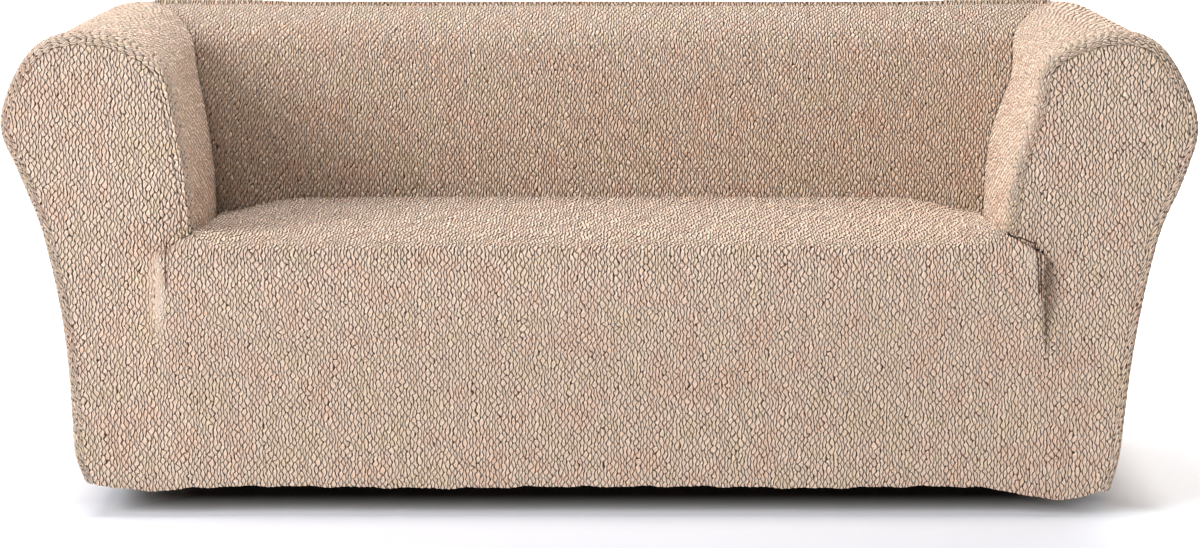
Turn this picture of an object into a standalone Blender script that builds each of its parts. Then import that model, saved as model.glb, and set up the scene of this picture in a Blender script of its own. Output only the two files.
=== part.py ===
"""Fitted stretch slipcover with two roll arms: eight knitted panels, hollow and open below.

Metres, +Z up, +Y to the rear. Sizes are measured from the hem (height 0), the plane of the arm
fronts (depth 0) and the middle of the cover. The origin is under the middle of the seat.
"""

import math

import bpy
import numpy as np

CLOTH = 0.003  # the knit with its puffs
SEAM_GAP = 0.0004
SEAM_DIP = 0.0012  # how far a seam lies below the cloth beside it
SEAM_STRIP = 0.008  # cloth drawn down on each side of a seam

SEAT_HEIGHT = 0.385
SEAT_CROWN = 0.007
SEAT_MIDDLE = 0.27  # depth of the origin
SEAT_SIDE_FRONT = 0.4065  # height of the seat's sides, drawn up at the front and sunk at the rear
SEAT_SIDE_REAR = 0.364
SEAT_SIDE_BLEND = (0.520, 0.632)  # out, where the level middle gives way to the sides
SEAT_REAR = 0.52  # depth at which the sides lie lowest
CREVICE_HEIGHT = 0.312  # lower edge of the cloth pushed into the crevices

# Section across an arm, from the crevice over the roll to the hem. Out is from the middle of the
# cover, splay is how much further out the inner side lies at the backrest.
# place, height, left out, right out, splay, rows to the next place
ARM_SECTION = (
    ("crevice", 0.312, 0.6295, 0.6295, 0.025, 2),
    ("seat level", 0.411, 0.6305, 0.6305, 0.025, 2),
    ("inner waist", 0.500, 0.640, 0.641, 0.027, 2),
    ("inner neck", 0.590, 0.655, 0.671, 0.031, 3),
    ("inner roll", 0.664, 0.681, 0.688, 0.026, 4),
    ("top", 0.704, 0.776, 0.785, 0.000, 4),
    ("shoulder", 0.681, 0.868, 0.862, 0.000, 4),
    ("outer roll", 0.575, 0.920, 0.917, 0.000, 4),
    ("outer neck", 0.488, 0.893, 0.901, 0.000, 3),
    ("waist", 0.391, 0.858, 0.862, 0.000, 4),
    ("calf", 0.228, 0.828, 0.829, 0.000, 4),
    ("above hem", 0.053, 0.817, 0.809, 0.000, 2),
    ("hem", 0.000, 0.804, 0.796, 0.000, 0),
)
# Section through the backrest: place, depth, height
BACK_SECTION = (
    ("crevice", 0.551, 0.312),
    ("low", 0.556, 0.400),
    ("middle", 0.582, 0.505),
    ("upper", 0.610, 0.590),
    ("shoulder", 0.650, 0.664),
    ("crest", 0.735, 0.704),
    ("rear shoulder", 0.805, 0.668),
    ("rear roll", 0.836, 0.580),
    ("rear middle", 0.838, 0.400),
    ("rear low", 0.830, 0.180),
    ("hem", 0.818, 0.000),
)
# The front edge of an arm, turned over the front: inset from the arm's side, depth
ARM_EDGE = ((0.0090, 0.0012), (0.0052, 0.0002), (0.0016, 0.0016), (0.0, 0.0060))
SPLAY_DEPTH = 0.60  # depth at which an arm's inner side has its full splay
ARM_FRONT_CROWN = 0.004
BACK_BELLY = 0.008  # how full the inside back is in its middle
BACK_BELLY_HEIGHTS = (0.40, 0.50, 0.56, 0.68)  # where the fullness starts, is whole, and ends

LOBE_OUT = 0.040  # how far the seat front stands ahead of the arm fronts
LOBE_ROUND = 0.030  # width over which a lobe's side turns back
LOBE_TOP_ROUND = 0.022  # the same below the lobe's sloping top
LOBE_FADES = (0.170, 0.345)  # heights between which the lobes swell out
SEAT_EDGE_RADIUS = 0.020
# How the seat's sides and rear turn down, from the crevice in: inset, drop. The first hangs free.
SEAT_TURN = ((0.0, None), (0.0, 0.019), (0.0035, 0.009), (0.011, 0.002), (0.0245, 0.0))
SEAT_FRONT_STEPS = (0.0, 0.005, 0.012, 0.022)
# Line between the seat front and an arm front, from the seat corner down: out, height
LOBE_CORNER = (0.6285, 0.3985)
CORNER_CLIMB = 0.585  # out, where the seat's front seam starts to climb to the corner
CORNER_SETBACK = 0.0045  # the seat's own corner lies this much behind the arm fronts' plane
CORNER_DROP = 0.009  # how deep the crevice is at that corner
TUCK_CLEAR = 0.0012  # the arm's cloth ends this much above the lobe's line there
LOBE_TIP = (0.686, 0.368)
LOBE_HEM = (0.697, 0.000)
LOBE_HEIGHTS = (0.335, 0.295, 0.255, 0.215, 0.175, 0.135, 0.095, 0.053, 0.014, 0.000)

REAR_RADIUS = 0.028
REAR_INSET = 0.045  # rear seam, measured in from the arm's outer side
REAR_TURN_IN = 0.585  # height above which the rear seam turns in to the roll's top
REAR_ZONE = 0.050  # length of arm cloth that takes the rear corner
REAR_CLEAR = 0.0006  # the seat's turned-down rear stands this much ahead of its lower edge
ARM_STEPS = 9
BACK_COLUMNS = 22
TUCK_RUN = 0.070  # length over which the side crevices deepen behind the front corner

HEM_CURL = (0.006, 0.020)  # how far the hem curls in, and the height where it starts
HEM_REACH = 0.14  # height up to which the dips below are felt
# Where the hem hangs lower than the rest: out, depth of the dip, half width
HEM_DIPS = ((-0.712, 0.008, 0.075), (0.722, 0.023, 0.085), (-0.25, 0.003, 0.14), (0.33, 0.003, 0.11))
# Slow waves in the fronts, where the cloth isn't quite tight: height, wave along X, size
SLACK_WAVES = ((0.060, 0.37, 0.0030), (0.190, 0.61, 0.0022), (0.300, 0.47, 0.0018))
SLACK_SPREAD = 0.07  # height over which a wave dies away
SLACK_DEPTH = 0.05  # the waves are felt this far behind the arm fronts

KNIT_COLOR = (0.61, 0.47, 0.36)
KNIT_ROUGHNESS = 0.95


def smooth(value, low, high):
    """0 below low, 1 above high, eased between."""
    share = min(max((value - low) / (high - low), 0.0), 1.0)
    return share * share * (3 - 2 * share)


def through(rows, counts):
    """Points on a Catmull-Rom curve through rows, with counts[i] steps after row i."""
    points = np.array(rows, float)
    found = []
    for i, count in enumerate(counts[: len(points) - 1]):
        before = points[max(i - 1, 0)]
        start, end = points[i], points[i + 1]
        after = points[min(i + 2, len(points) - 1)]
        for step in range(count):
            t = step / count
            found.append(
                0.5
                * (
                    2 * start
                    + (end - before) * t
                    + (2 * before - 5 * start + 4 * end - after) * t * t
                    + (3 * start - before - 3 * end + after) * t * t * t
                )
            )
    found.append(points[-1])
    return np.array(found)


def place_index(place):
    """Row of the arm's mesh at a named place of its section."""
    names = [row[0] for row in ARM_SECTION]
    return sum(row[5] for row in ARM_SECTION[: names.index(place)])


ARM_LINE = through([row[1:5] for row in ARM_SECTION], [row[5] for row in ARM_SECTION])
TOP = place_index("top")
SEAT_LEVEL = place_index("seat level")
INNER_ROLL = place_index("inner roll")
SHOULDER = place_index("shoulder")
MEETING = SHOULDER + 1  # where arm, inside back and outside back meet
LAST = len(ARM_LINE) - 1

BACK_LINE = through([row[1:] for row in BACK_SECTION], [24] * len(BACK_SECTION))
CREST = int(np.argmax(BACK_LINE[:, 1]))


def backrest_depth(height):
    front = BACK_LINE[: CREST + 1]
    return float(np.interp(height, front[:, 1], front[:, 0]))


def rear_depth(height):
    rear = BACK_LINE[CREST:][::-1]
    return float(np.interp(height, rear[:, 1], rear[:, 0]))


def arm_out(side, index, depth=0.0):
    """Distance of the arm's section from the middle of the cover."""
    out = ARM_LINE[index, 1 if side < 0 else 2]
    return float(out + ARM_LINE[index, 3] * min(max(depth, 0.0) / SPLAY_DEPTH, 1.0))


def rear_seam_out(side, index):
    """The rear seam runs up inside the arm's outer side and turns in at the roll."""
    height = ARM_LINE[index, 0]
    turned = smooth(height, REAR_TURN_IN, ARM_LINE[MEETING, 0])
    beside = arm_out(side, index) - REAR_INSET
    return beside * (1 - turned) + arm_out(side, TOP) * turned


def lobe_line_height(out):
    """Height of the sloping line below an arm front's inner corner."""
    share = (out - LOBE_CORNER[0]) / (LOBE_TIP[0] - LOBE_CORNER[0])
    return LOBE_CORNER[1] + share * (LOBE_TIP[1] - LOBE_CORNER[1])


def lobe_line_out(height):
    """The line between seat front and arm front below the lobe's tip."""
    return LOBE_HEM[0] + (LOBE_TIP[0] - LOBE_HEM[0]) * height / LOBE_TIP[1]


def settle(point):
    """What is uneven in the whole cover: the hem's dips and slow waves in the front."""
    x, y, z = point
    near_hem = max(0.0, 1 - z / HEM_REACH)
    for out, drop, half in HEM_DIPS:
        z -= drop * near_hem * math.exp(-(((x - out) / half) ** 2))
    in_front = 1 - smooth(y, 0.0, SLACK_DEPTH)
    for height, length, size in SLACK_WAVES:
        wave = math.sin(2 * math.pi * x / length + 9 * height)
        fade = math.exp(-(((z - height) / SLACK_SPREAD) ** 2))
        y -= in_front * size * (1 + wave) * 0.5 * fade
    return x, y, z


def knit(name):
    material = bpy.data.materials.new(name + "_bubble_knit")
    material.use_nodes = True
    shader = material.node_tree.nodes["Principled BSDF"]
    shader.inputs["Base Color"].default_value = (*KNIT_COLOR, 1)
    shader.inputs["Roughness"].default_value = KNIT_ROUGHNESS
    shader.inputs["Metallic"].default_value = 0
    return material


def grid_normals(grid):
    along = np.gradient(grid, axis=1)
    across = np.gradient(grid, axis=0)
    normals = np.cross(along, across)
    return normals / np.maximum(np.linalg.norm(normals, axis=2, keepdims=True), 1e-9)


def make_panel(name, rows, dips=(), side=1):
    """A panel from rows of points on its outer face. Dips are the (row, column) slices that lie in a
    seam. Side -1 mirrors it across the middle."""
    grid = np.array(rows, float)
    if side < 0:
        grid = grid[:, ::-1] * (-1, 1, 1)
    grid = np.array([[settle(point) for point in row] for row in grid])
    normals = grid_normals(grid)
    for row, column in dips:
        if side < 0:
            column = mirrored(column, grid.shape[1])
        grid[row, column] -= SEAM_DIP * normals[row, column]
    height, width = grid.shape[:2]
    faces = [
        (i * width + j, i * width + j + 1, (i + 1) * width + j + 1, (i + 1) * width + j)
        for i in range(height - 1)
        for j in range(width - 1)
    ]
    mesh = bpy.data.meshes.new(name)
    mesh.from_pydata([tuple(point) for point in grid.reshape(-1, 3)], [], faces)
    mesh.materials.append(knit(name))
    mesh.shade_smooth()
    panel = bpy.data.objects.new(name, mesh)
    panel.location = (0, -SEAT_MIDDLE, -(SEAT_HEIGHT + SEAT_CROWN - CLOTH))
    bpy.context.scene.collection.objects.link(panel)
    thickness = panel.modifiers.new("cloth", "SOLIDIFY")
    thickness.thickness = CLOTH
    thickness.offset = -1
    return panel


def mirrored(column, width):
    """The same column, or slice of columns, counted from the other side."""
    if isinstance(column, slice):
        start = 0 if column.stop is None else width - column.stop
        stop = width if column.start is None else width - column.start
        return slice(start, stop)
    return width - 1 - (column % width)


def resample(path, lengths):
    """Points on a polyline at the given lengths along it."""
    path = np.array(path, float)
    steps = np.linalg.norm(np.diff(path, axis=0), axis=1)
    run = np.concatenate([[0], np.cumsum(steps)])
    return np.array([[np.interp(at, run, path[:, k]) for k in range(path.shape[1])] for at in lengths])


def rear_corner(side, index):
    """Plan of the arm cloth round the rear corner at one height, as (out, depth)."""
    height = ARM_LINE[index, 0]
    out = arm_out(side, index)
    depth = rear_depth(height)
    end = rear_seam_out(side, index) + SEAM_GAP / 2
    radius = min(REAR_RADIUS, 0.6 * (out - end))
    turn = [
        (out - radius + radius * math.cos(a), depth - radius + radius * math.sin(a))
        for a in np.linspace(0, math.pi / 2, 9)
    ]
    path = [(out, depth - REAR_ZONE), *turn, (end, depth)]
    steps = np.linalg.norm(np.diff(np.array(path), axis=0), axis=1)
    total = float(steps.sum())
    body = total - min(SEAM_STRIP, 0.3 * total)
    return resample(path, [body * share for share in (0.0, 0.28, 0.52, 0.76, 1.0)] + [total])


def arm_row(side, index):
    """One row of arm cloth, from the seam on the arm front to the rear."""
    height = float(ARM_LINE[index, 0])
    out = arm_out(side, index)
    before, after = max(index - 1, 0), min(index + 1, LAST)
    run = np.array(
        [arm_out(side, after) - arm_out(side, before), ARM_LINE[after, 0] - ARM_LINE[before, 0]]
    )
    run /= np.linalg.norm(run)
    inward = np.array([run[1], -run[0]])  # into the arm, square to its side
    if index <= SEAT_LEVEL:
        inward = np.array([1.0, 0.0])
    row = [(out + inset * inward[0], depth, height + inset * inward[1]) for inset, depth in ARM_EDGE]
    if index <= TOP:
        depth = backrest_depth(height) - SEAM_GAP
        stop = depth - REAR_ZONE
        tail = [stop + (REAR_ZONE - SEAM_STRIP) * share for share in (0.0, 0.25, 0.5, 0.75, 1.0)] + [depth]
        tail = [(arm_out(side, index, y), y) for y in tail]
    else:
        tail = rear_corner(side, index)
        stop = tail[0][1]
    start = ARM_EDGE[-1][1]
    for step in range(1, ARM_STEPS):
        depth = start + (stop - start) * step / ARM_STEPS
        row.append((arm_out(side, index, depth) if index <= TOP else out, depth, height))
    row += [(x, y, height) for x, y in tail]
    if index < SEAT_LEVEL:
        row = [raised_tuck(point, index) for point in row]
    return row


def raised_tuck(point, index):
    """The cloth in the side crevice gets shallower towards the front corner, where it ends."""
    x, y, z = point
    front = lobe_line_height(max(x, LOBE_CORNER[0])) + TUCK_CLEAR
    low = front + (CREVICE_HEIGHT - front) * smooth(y, ARM_EDGE[-1][1], TUCK_RUN)
    top = ARM_LINE[SEAT_LEVEL, 0]
    share = (top - ARM_LINE[index, 0]) / (top - CREVICE_HEIGHT)
    return x, y, top + (low - top) * share


def make_arm(name, side):
    rows = [arm_row(side, index)[::-1] for index in range(LAST + 1)]
    return make_panel(name, rows, [(slice(TOP + 1, None), 0)], side)


def shares(first, second):
    """Share of the way along two lines that run side by side, averaged, at each of their points."""
    found = []
    for line in (first, second):
        run = np.concatenate([[0], np.cumsum(np.linalg.norm(np.diff(line, axis=0), axis=1))])
        found.append(run / run[-1])
    return (found[0] + found[1]) / 2


def patch(low, high, left, right):
    """A grid between four lines of points: low and high run from left to right, left and right run up."""
    low, high, left, right = (np.array(line, float) for line in (low, high, left, right))
    u = shares(low, high)[None, :, None]
    v = shares(left, right)[:, None, None]
    ruled = (1 - v) * low[None] + v * high[None] + (1 - u) * left[:, None] + u * right[:, None]
    corners = (1 - u) * (1 - v) * low[0] + u * (1 - v) * low[-1]
    corners = corners + (1 - u) * v * high[0] + u * v * high[-1]
    return ruled - corners


def hem_tuck(height):
    """The last of the cloth above the hem curls in under the edge."""
    return HEM_CURL[0] * max(0.0, 1 - height / HEM_CURL[1]) ** 2


def lobe_side(gap):
    """The line from the seat corner down to the hem, as (out, height)."""
    edge = arm_out(1, SEAT_LEVEL) + ARM_EDGE[0][0]
    outs = (LOBE_CORNER[0], edge, (edge + LOBE_TIP[0]) / 2, LOBE_TIP[0])
    line = [(out + gap * 0.6, lobe_line_height(out) + gap) for out in outs]
    line[-1] = (LOBE_TIP[0] + gap, LOBE_TIP[1] + gap * 0.6)
    return line + [(lobe_line_out(height) + gap, height) for height in LOBE_HEIGHTS]


def make_arm_front(name, side):
    edge = [arm_row(side, index)[0] for index in range(LAST + 1)]
    centre = np.array([np.mean([p[0] for p in edge]), np.mean([p[2] for p in edge])])

    def inset(index):
        point = np.array([edge[index][0], edge[index][2]])
        before = edge[max(index - 1, 0)]
        after = edge[min(index + 1, LAST)]
        run = np.array([after[0] - before[0], after[2] - before[2]])
        square = np.array([run[1], -run[0]]) / np.linalg.norm(run)
        if index > LAST - 2 and square @ (centre - point) < 0:
            square = -square
        return point + SEAM_GAP * square

    outer = [inset(index) for index in range(LAST, SHOULDER - 1, -1)]
    top = [inset(index) for index in range(SHOULDER, INNER_ROLL - 1, -1)]
    inner = [inset(index) for index in range(INNER_ROLL, -1, -1)]
    below = lobe_side(SEAM_GAP)
    inner[-1] = (inner[-1][0], below[1][1])
    inner = (inner + [np.array(point) for point in below[2:]])[::-1]
    hem = [np.array(inner[0]) + (outer[0] - inner[0]) * t for t in np.linspace(0, 1, len(top))]
    flat = patch(hem, top[::-1], inner, outer)
    rows = []
    for i, row in enumerate(flat):
        rise = math.sin(math.pi * i / (len(flat) - 1))
        line = []
        for j, (x, z) in enumerate(row):
            crown = ARM_FRONT_CROWN * math.sin(math.pi * j / (len(row) - 1)) * rise
            line.append((x, hem_tuck(z) - crown, z))
        rows.append(line)
    dips = [(slice(None), 0), (slice(None), -1), (-1, slice(1, -1))]
    return make_panel(name, rows, dips, side)


def bulge(out, height):
    """How far the seat front stands ahead of the arm fronts at one point."""
    out = abs(out)
    beside = lobe_line_out(min(height, LOBE_TIP[1])) - out
    slope = np.array([LOBE_TIP[0] - LOBE_CORNER[0], LOBE_TIP[1] - LOBE_CORNER[1]])
    slope /= np.linalg.norm(slope)
    below = (out - LOBE_TIP[0]) * slope[1] - (height - LOBE_TIP[1]) * slope[0]
    near = min(beside / LOBE_ROUND, below / LOBE_TOP_ROUND, 1.0)
    turned = math.sqrt(max(0.0, 1 - (1 - max(near, 0.0)) ** 2))
    swell = LOBE_OUT * smooth(height, *LOBE_FADES)
    past = max(0.0, height - (seat_seam_height(out) - SEAT_EDGE_RADIUS * math.sqrt(0.5)))
    past = min(past, SEAT_EDGE_RADIUS)
    top = SEAT_EDGE_RADIUS - math.sqrt(SEAT_EDGE_RADIUS**2 - past**2)
    return turned * max(swell - top, 0.0)


def seat_seam_height(out):
    """The seam at the seat's front edge is level and climbs to the arm fronts over the corners."""
    level = SEAT_HEIGHT - SEAT_EDGE_RADIUS * (1 - math.sqrt(0.5))
    return level + (LOBE_CORNER[1] - level) * smooth(abs(out), CORNER_CLIMB, LOBE_CORNER[0])


def seat_columns():
    """Places across the seat's front edge."""
    ends = [-LOBE_CORNER[0] + step for step in (0.0, 0.0035, 0.011, 0.0245, 0.044)]
    middle = list(np.linspace(-0.555, 0.555, 19))
    return ends + middle + [-x for x in ends[::-1]]


def make_front_panel():
    right = [np.array(point) for point in lobe_side(-SEAM_GAP)[::-1]]
    left = [np.array((-x, z)) for x, z in right]
    columns = seat_columns()
    top = [np.array((x, seat_seam_height(x) - SEAM_GAP)) for x in columns]
    top[0], top[-1] = left[-1], right[-1]
    across = [(x - columns[0]) / (columns[-1] - columns[0]) for x in columns]
    hem = [left[0] + (right[0] - left[0]) * share for share in across]
    flat = patch(hem, top, left, right)
    flat = np.insert(flat, -1, (flat[-1] + flat[-2]) / 2, axis=0)
    rows = [[(x, hem_tuck(z) - bulge(x, z), z) for x, z in row] for row in flat]
    dips = [(slice(None), 0), (slice(None), -1), (-1, slice(1, -1))]
    return make_panel("front_panel", rows, dips)


def seat_top(x, y):
    """Height of the seat: crowned in the middle, its sides drawn up at the front and sunk at the rear."""
    along = min(max(y / SEAT_REAR, 0.0), 1.0)
    crown = SEAT_CROWN * math.sin(math.pi * (0.25 + 0.6 * along)) * (1 - (x / 0.66) ** 2)
    height = SEAT_HEIGHT + crown * smooth(y, -0.02, 0.08)
    beside = SEAT_SIDE_FRONT + (SEAT_SIDE_REAR - SEAT_SIDE_FRONT) * along
    return height + (beside - height) * smooth(abs(x), *SEAT_SIDE_BLEND)


def seat_side(sign, y):
    """Out of the seat's side edge, just inside the arm."""
    return LOBE_CORNER[0] + arm_out(sign, SEAT_LEVEL, y) - arm_out(sign, SEAT_LEVEL)


def seat_point(sign, out, inset, drop, y, front, rear_drop):
    """One point of the seat. Inset and drop place the turned-down side, rear_drop the turned-down rear."""
    if inset is None:
        out *= seat_side(sign, y) / LOBE_CORNER[0]
    elif y > 0:
        out = seat_side(sign, y) - inset
    ahead = y - front
    seam = seat_seam_height(min(out, LOBE_CORNER[0]))
    reach = SEAT_EDGE_RADIUS * math.sqrt(0.5)
    z = seam + math.sqrt(SEAT_EDGE_RADIUS**2 - max(reach - ahead, 0.0) ** 2) - reach
    z += (seat_top(out, y) - z) * smooth(ahead, reach, 0.09)
    if drop is None or rear_drop is None:
        low = LOBE_CORNER[1] - CORNER_DROP
        z = low + (CREVICE_HEIGHT - low) * smooth(y, 0.0, TUCK_RUN)
        if drop is None:
            out = out + (arm_out(sign, 0, y) - SEAM_GAP - out) * smooth(y, 0.0, TUCK_RUN)
    else:
        z -= max((drop or 0.0) * smooth(y, 0.0, 0.06), rear_drop)
    return sign * out, y, z


def make_seat_panel():
    turned = [(LOBE_CORNER[0] - inset, inset, drop) for inset, drop in SEAT_TURN]
    across = [(-1, *place) for place in turned]
    across += [(-1 if x < 0 else 1, abs(x), None, 0.0) for x in seat_columns()[4:-4]]
    across += [(1, *place) for place in turned[::-1]]
    rear = backrest_depth(CREVICE_HEIGHT) - SEAM_GAP
    flat_end = rear - SEAT_TURN[-1][0]
    # each row: step behind the seam or None, share of the way to the rear or None, rear inset, rear drop
    along = [(step, None, None, 0.0) for step in SEAT_FRONT_STEPS]
    along += [(None, share, None, 0.0) for share in np.linspace(0.1, 1.0, 9)]
    along += [(None, None, inset + REAR_CLEAR, drop) for inset, drop in SEAT_TURN[-2:0:-1]]
    along += [(None, None, 0.0, None)]
    rows = []
    for step, share, rear_inset, rear_drop in along:
        row = []
        for sign, out, inset, drop in across:
            front = SEAM_GAP - bulge(out, seat_seam_height(out))
            front += CORNER_SETBACK * smooth(out, 0.600, LOBE_CORNER[0])
            if step is not None:
                y = front + step
            elif share is not None:
                y = front + (flat_end - front) * share
            else:
                y = rear - rear_inset
            row.append(seat_point(sign, out, inset, drop, y, front, rear_drop))
        rows.append(row)
    return make_panel("seat_panel", rows, [(0, slice(1, -1))])


def beside_seam(seam, before):
    """A row one seam strip away from the rear seam, on the rear surface."""
    run = math.hypot(seam[0][1] - before[0][1], seam[0][2] - before[0][2])
    share = min(SEAM_STRIP / run, 0.5)
    row = []
    for end, start in zip(seam, before):
        x = end[0] + (start[0] - end[0]) * share
        z = end[2] + (start[2] - end[2]) * share
        row.append((x, rear_depth(z), z))
    return row


def make_inside_back():
    middle = np.linspace(0, 1, BACK_COLUMNS + 1)[1:-1]
    start, whole, lessens, end = BACK_BELLY_HEIGHTS
    rows = []
    for index in range(MEETING + 1):
        height = float(ARM_LINE[index, 0])
        front = index <= TOP
        depth = backrest_depth(height) if front else rear_depth(height)
        z = height + (SEAM_GAP / 2 if index == MEETING else 0.0)
        row = []
        for sign in (-1, 1):
            edge = arm_out(sign, min(index, TOP), depth if front else 0.0)
            if not front:
                edge = arm_out(sign, TOP)
            row.append(edge - SEAM_GAP / 2)
        left, right = row
        xs = [-left, -left + SEAM_STRIP]
        xs += [-left + (left + right) * share for share in middle]
        xs += [right - SEAM_STRIP, right]
        belly = BACK_BELLY * smooth(height, start, whole) * (1 - smooth(height, lessens, end))
        if not front:
            belly = 0.0
        rows.append([(x, depth - belly * math.cos(math.pi * x / (left + right)), z) for x in xs])
    rows.insert(-1, beside_seam(rows[-1], rows[-2]))
    dips = [(-1, slice(1, -1)), (slice(TOP + 1, None), 0), (slice(TOP + 1, None), -1)]
    return make_panel("inside_back", rows, dips)


def make_outside_back():
    rows = []
    for index in range(LAST, MEETING - 1, -1):
        height = float(ARM_LINE[index, 0])
        z = height - (SEAM_GAP / 2 if index == MEETING else 0.0)
        left = rear_seam_out(-1, index) - SEAM_GAP / 2
        right = rear_seam_out(1, index) - SEAM_GAP / 2
        xs = [-left, -left + SEAM_STRIP]
        xs += [-left + (left + right) * share for share in np.linspace(0, 1, 15)[1:-1]]
        xs += [right - SEAM_STRIP, right]
        depth = rear_depth(height)
        rows.append([(x, depth, z) for x in xs[::-1]])
    rows.insert(-1, beside_seam(rows[-1], rows[-2]))
    dips = [(slice(None), 0), (slice(None), -1), (-1, slice(1, -1))]
    return make_panel("outside_back", rows, dips)


def main():
    for old in list(bpy.data.objects):
        bpy.data.objects.remove(old)
    make_seat_panel()
    make_front_panel()
    make_arm_front("arm_front_left", -1)
    make_arm_front("arm_front_right", 1)
    make_arm("arm_left", -1)
    make_arm("arm_right", 1)
    make_inside_back()
    make_outside_back()


main()
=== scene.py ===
# A stretch slipcover in beige bubble knit: eight panels with seams between them, pulled tight.
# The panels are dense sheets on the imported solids' shapes, with their folds, puffs and grooves.

import math
import time
from functools import partial

import bpy
import numpy as np
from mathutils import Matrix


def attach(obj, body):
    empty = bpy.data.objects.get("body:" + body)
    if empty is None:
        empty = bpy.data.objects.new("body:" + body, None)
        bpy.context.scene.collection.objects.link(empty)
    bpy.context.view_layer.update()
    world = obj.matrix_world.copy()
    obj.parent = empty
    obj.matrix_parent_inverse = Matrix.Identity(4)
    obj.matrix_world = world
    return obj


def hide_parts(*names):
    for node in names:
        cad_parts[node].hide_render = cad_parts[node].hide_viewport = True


started = time.time()
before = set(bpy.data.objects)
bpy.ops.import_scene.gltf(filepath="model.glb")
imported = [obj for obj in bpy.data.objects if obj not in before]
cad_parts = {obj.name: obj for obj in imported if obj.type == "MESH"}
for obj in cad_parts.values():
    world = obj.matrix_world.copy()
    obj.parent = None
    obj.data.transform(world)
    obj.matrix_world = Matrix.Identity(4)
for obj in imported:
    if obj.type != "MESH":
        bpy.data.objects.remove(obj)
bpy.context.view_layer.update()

# Sizes in metres from the hem (height 0), the plane of the arm fronts (depth 0) and the middle.
cover = {
    "seatMiddle": 0.27,  # depth of the frame's origin
    "hemBelow": 0.389,  # height of the origin above the hem
    "cloth": 0.0026,
    "innerStride": 4,  # the inner face keeps every fourth point
    "sharpAngle": 55,
    "seamGap": 0.0004,
    "grooveWidth": 0.0042,
    "grooveStart": 0.02,  # half of the height in which a groove begins
    "grooveBare": 0.001,  # depth of a groove that has no puffs left
    "foldStart": (-0.10, 0.20),  # shares of its length in which a fold rises
    "foldEnd": (0.60, 1.10),
    "smoothing": 0.85,  # share of its relief that a smoothed patch loses
    "cut": 0.97,  # lengths of the cut cloth against the fitted cloth
    "cutArea": 0.94,
    "hemCurl": 0.007,
    "hemRound": 0.022,  # height below which the hem curls in
    "hemReach": 0.14,  # height up to which its dips are felt
    "groundBelow": 0.050,
}


def ease(value, low, high):
    # from 0 at low to 1 at high, smooth at both ends
    share = np.clip((np.asarray(value, float) - low) / (high - low), 0.0, 1.0)
    return share * share * (3 - 2 * share)


def hump(value, middle, half):
    return np.exp(-(((np.asarray(value, float) - middle) / half) ** 2))


def curveThrough(rows, counts):
    # a smooth curve through the rows, with the count of steps from each row to the next
    points = np.array(rows, float)
    found = []
    for i, count in enumerate(counts[: len(points) - 1]):
        before, start, end = points[max(i - 1, 0)], points[i], points[i + 1]
        after = points[min(i + 2, len(points) - 1)]
        for t in np.arange(count) / count:
            line = 2 * start + (end - before) * t
            line = line + (2 * before - 5 * start + 4 * end - after) * t * t
            found.append(0.5 * (line + (3 * start - before - 3 * end + after) * t**3))
    found.append(points[-1])
    return np.array(found)


def runAlong(line):
    # the distance of each point from the first, along the line
    return np.concatenate([[0], np.cumsum(np.linalg.norm(np.diff(line, axis=0), axis=1))])


# Section across an arm: place, height, left out, right out, splay towards the back, rows to the next
arm = {
    "section": (
        ("crevice", 0.312, 0.6295, 0.6295, 0.025, 2),
        ("seat level", 0.411, 0.6305, 0.6305, 0.025, 2),
        ("inner waist", 0.500, 0.640, 0.641, 0.027, 2),
        ("inner neck", 0.590, 0.655, 0.671, 0.031, 3),
        ("inner roll", 0.664, 0.681, 0.688, 0.026, 4),
        ("top", 0.704, 0.776, 0.785, 0.000, 4),
        ("shoulder", 0.681, 0.868, 0.862, 0.000, 4),
        ("outer roll", 0.575, 0.920, 0.917, 0.000, 4),
        ("outer neck", 0.488, 0.893, 0.901, 0.000, 3),
        ("waist", 0.391, 0.858, 0.862, 0.000, 4),
        ("calf", 0.228, 0.828, 0.829, 0.000, 4),
        ("above hem", 0.053, 0.817, 0.809, 0.000, 2),
        ("hem", 0.000, 0.804, 0.796, 0.000, 0),
    ),
    "edge": ((0.0150, 0.0011), (0.0090, 0.0004), (0.0030, 0.0028), (0.0, 0.0095)),  # inset, depth
    "splayDepth": 0.60,  # depth from which the splay is whole
    "steps": 9,
    "frontCrown": 0.004,
    "rearRadius": 0.028,
    "rearRoom": 0.6,  # share of the turned part that the radius takes at most
    "turnPoints": 9,
    "rearInset": 0.045,  # of the rear seam from the outer side
    "rearTurnIn": 0.585,  # height from which that seam runs in to the top
    "rearZone": 0.050,
    "rearShares": (0.0, 0.28, 0.52, 0.76, 1.0),
    "innerShares": (0, 0.25, 0.5, 0.75, 1),
    "strip": 0.008,  # the last strip of cloth before a seam
    "stripRoom": 0.3,
    "tuckRun": 0.070,  # depth in which the cloth goes down into the crevice
    "tuckGap": 0.0012,
}
# Section through the back: place, depth, height
back = {
    "section": (
        ("crevice", 0.551, 0.312),
        ("low", 0.556, 0.400),
        ("middle", 0.582, 0.505),
        ("upper", 0.610, 0.590),
        ("shoulder", 0.650, 0.664),
        ("crest", 0.735, 0.704),
        ("rear shoulder", 0.805, 0.668),
        ("rear roll", 0.836, 0.580),
        ("rear middle", 0.838, 0.400),
        ("rear low", 0.830, 0.180),
        ("hem", 0.818, 0.000),
    ),
    "belly": 0.008,
    "bellyHeights": (0.40, 0.50, 0.56, 0.68),
    "steps": 24,  # from each place to the next
    "columns": 22,
    "rearColumns": 17,
}

armLine = curveThrough([row[1:5] for row in arm["section"]], [row[5] for row in arm["section"]])
backLine = curveThrough([row[1:] for row in back["section"]], [back["steps"]] * len(back["section"]))
crest = int(np.argmax(backLine[:, 1]))


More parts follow.
